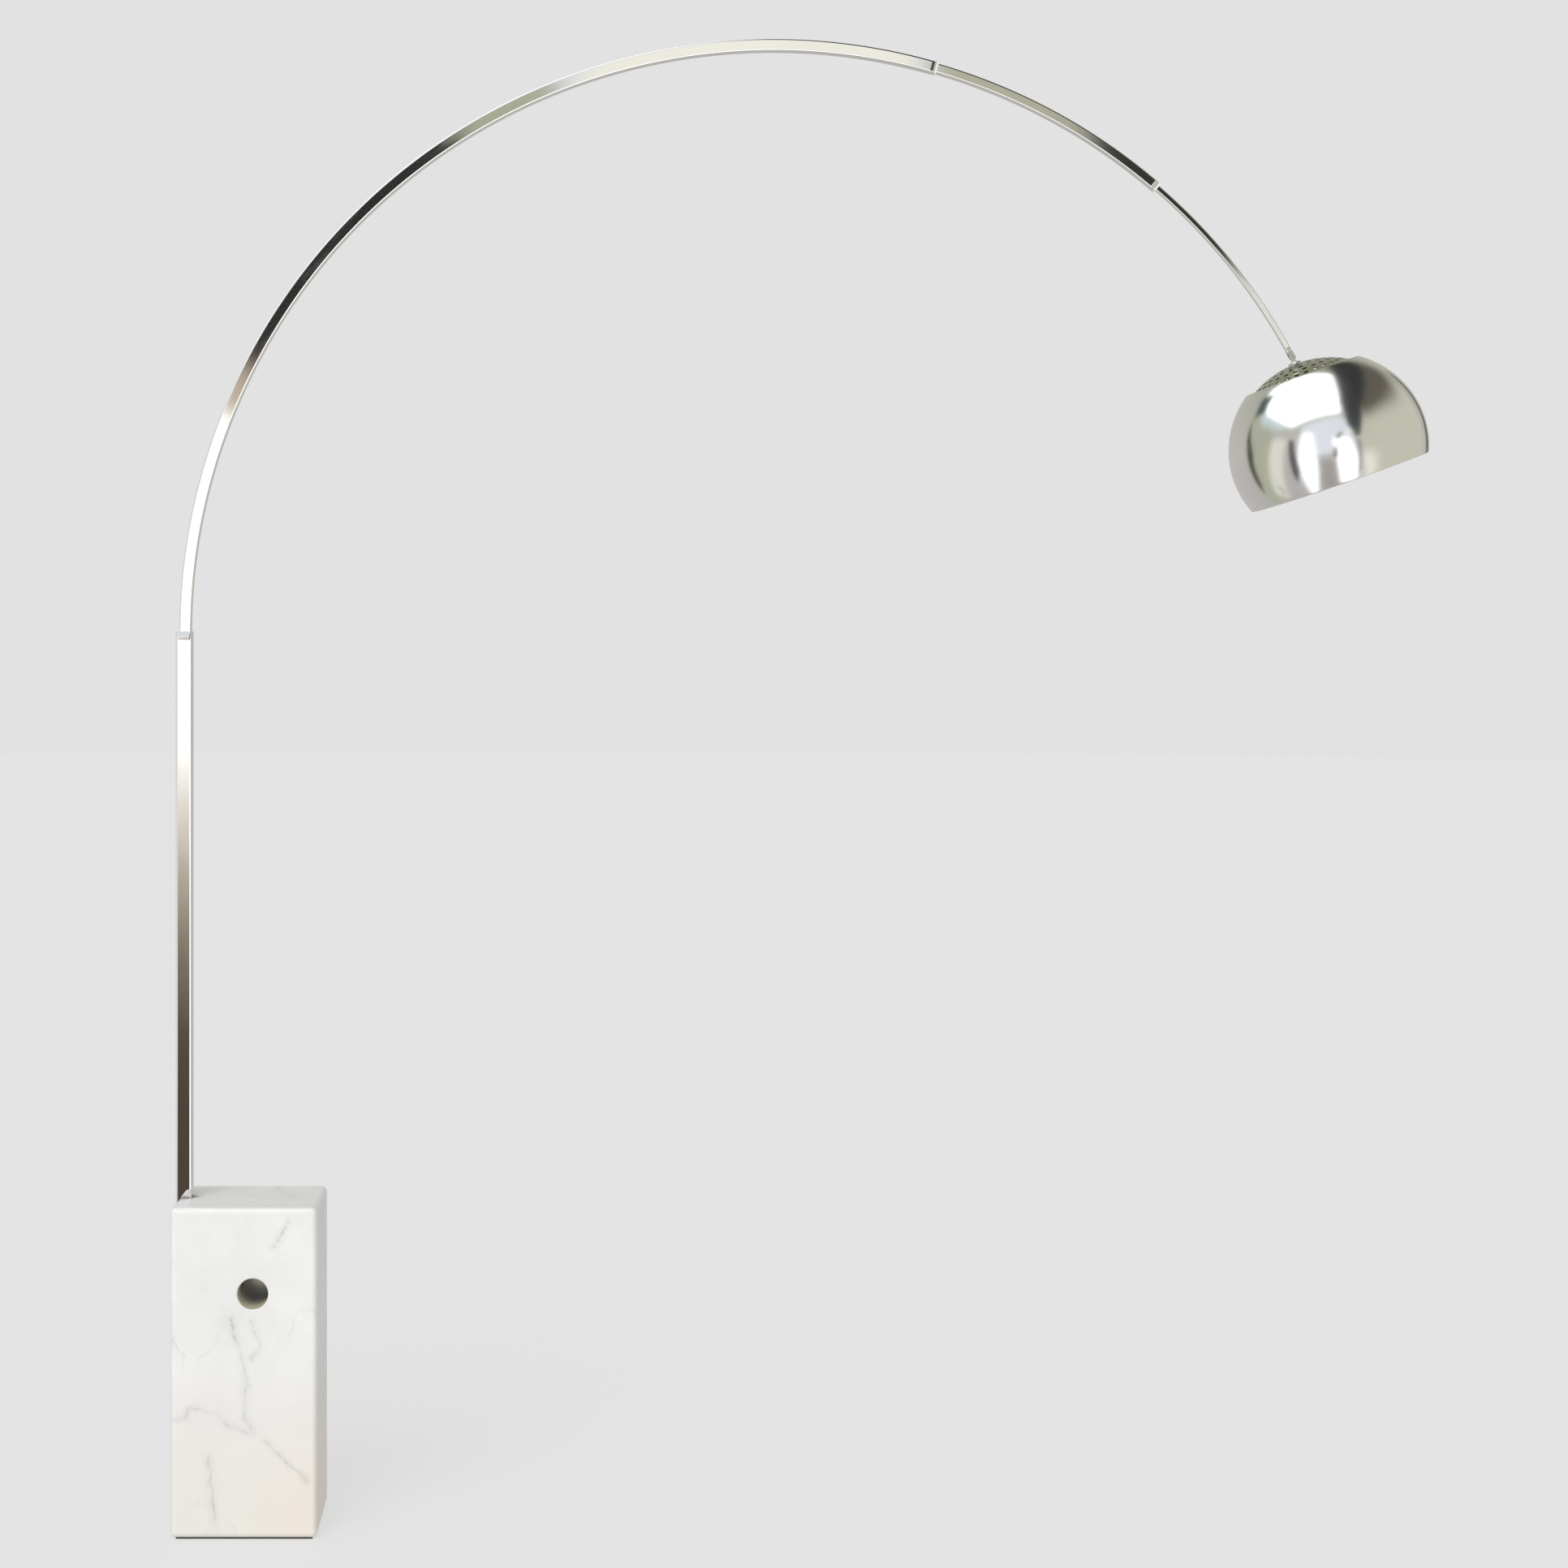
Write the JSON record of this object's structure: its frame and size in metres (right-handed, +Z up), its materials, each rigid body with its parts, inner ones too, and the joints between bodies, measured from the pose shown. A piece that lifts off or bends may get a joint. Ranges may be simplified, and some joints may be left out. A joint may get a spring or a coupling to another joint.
{
  "type": "arc floor lamp",
  "caption": "Floor lamp with a marble block base, a square post, a telescopic steel arc and a tilting domed metal shade with a perforated cap.",
  "frame": {"origin": "centre of the block's footprint, on the floor", "axes": "+Z up, +X from the block towards the shade in the plane of the arc, -Y towards the front"},
  "size_m": [2.09, 0.32, 2.4795],
  "materials": {
    "marble": "honed white marble with fine grey veins, edges eased",
    "felt": "pressed dark felt",
    "steel": "polished stainless steel",
    "zinc": "zinc-plated steel",
    "brass": "turned brass",
    "aluminium": "polished lacquered aluminium",
    "nylon": "black nylon",
    "bakelite": "black moulded thermoset",
    "ceramic": "white porcelain",
    "opal_glass": "opal white glass",
    "lead_sheath": "black rubber sheath"
  },
  "bodies": {
    "stand": {"marble_block": "marble", "base_pad": "felt", "post": "steel", "post_foot_plug": "nylon", "post_bolt_1": "zinc", "post_bolt_2": "zinc", "post_bolt_3": "zinc", "marble_insert_1": "brass", "marble_insert_2": "brass", "marble_insert_3": "brass", "cable_gland": "bakelite", "post_packer": "nylon", "post_grub_screw_1": "zinc", "post_grub_screw_2": "zinc", "arc_lower": "steel", "arc_lower_mouth_ring": "nylon", "arc_lower_clamp_screw": "zinc", "lead_in_stand": "lead_sheath"},
    "middle_arm": {"arc_middle": "steel", "arc_middle_tail_plug": "nylon", "arc_middle_mouth_bush": "nylon", "arc_middle_clamp_screw": "zinc", "lead_in_middle_arc": "lead_sheath"},
    "end_arm": {"arc_end": "steel", "arc_end_tail_guide": "nylon", "knuckle_fork": "steel", "knuckle_pin": "steel", "knuckle_nut": "zinc", "lead_in_end_arc": "lead_sheath"},
    "shade": {"knuckle_tongue": "steel", "cap_collar": "steel", "perforated_cap": "aluminium", "cap_nut": "zinc", "lamp_holder": "bakelite", "holder_contact_block": "ceramic", "bulb_cap": "brass", "bulb_glass": "opal_glass", "bulb_filament": "ceramic"},
    "ring": {"slip_ring": "felt"},
    "reflector": {"reflector_bowl": "aluminium"}
  },
  "joints": [
    {"name": "middle_arm_extension", "type": "hinge", "parent": "stand", "child": "middle_arm", "pos_m": [0.8757, 0, 1.486], "axis": [0, 1, 0], "range_deg": [-22, 6]},
    {"name": "end_arm_extension", "type": "hinge", "parent": "middle_arm", "child": "end_arm", "pos_m": [0.8757, 0, 1.486], "axis": [0, 1, 0], "range_deg": [-16, 5]},
    {"name": "knuckle_tilt", "type": "hinge", "parent": "end_arm", "child": "shade", "pos_m": [1.74452, 0, 1.94796], "axis": [0, 1, 0], "range_deg": [-30, 30]},
    {"name": "reflector_tilt_side", "type": "hinge", "parent": "shade", "child": "ring", "pos_m": [1.8038, 0, 1.79569], "axis": [0, 1, 0], "range_deg": [-16, 16]},
    {"name": "reflector_tilt_front", "type": "hinge", "parent": "ring", "child": "reflector", "pos_m": [1.8038, 0, 1.79569], "axis": [0.9426, 0, 0.3338], "range_deg": [-16, 16]}
  ]
}
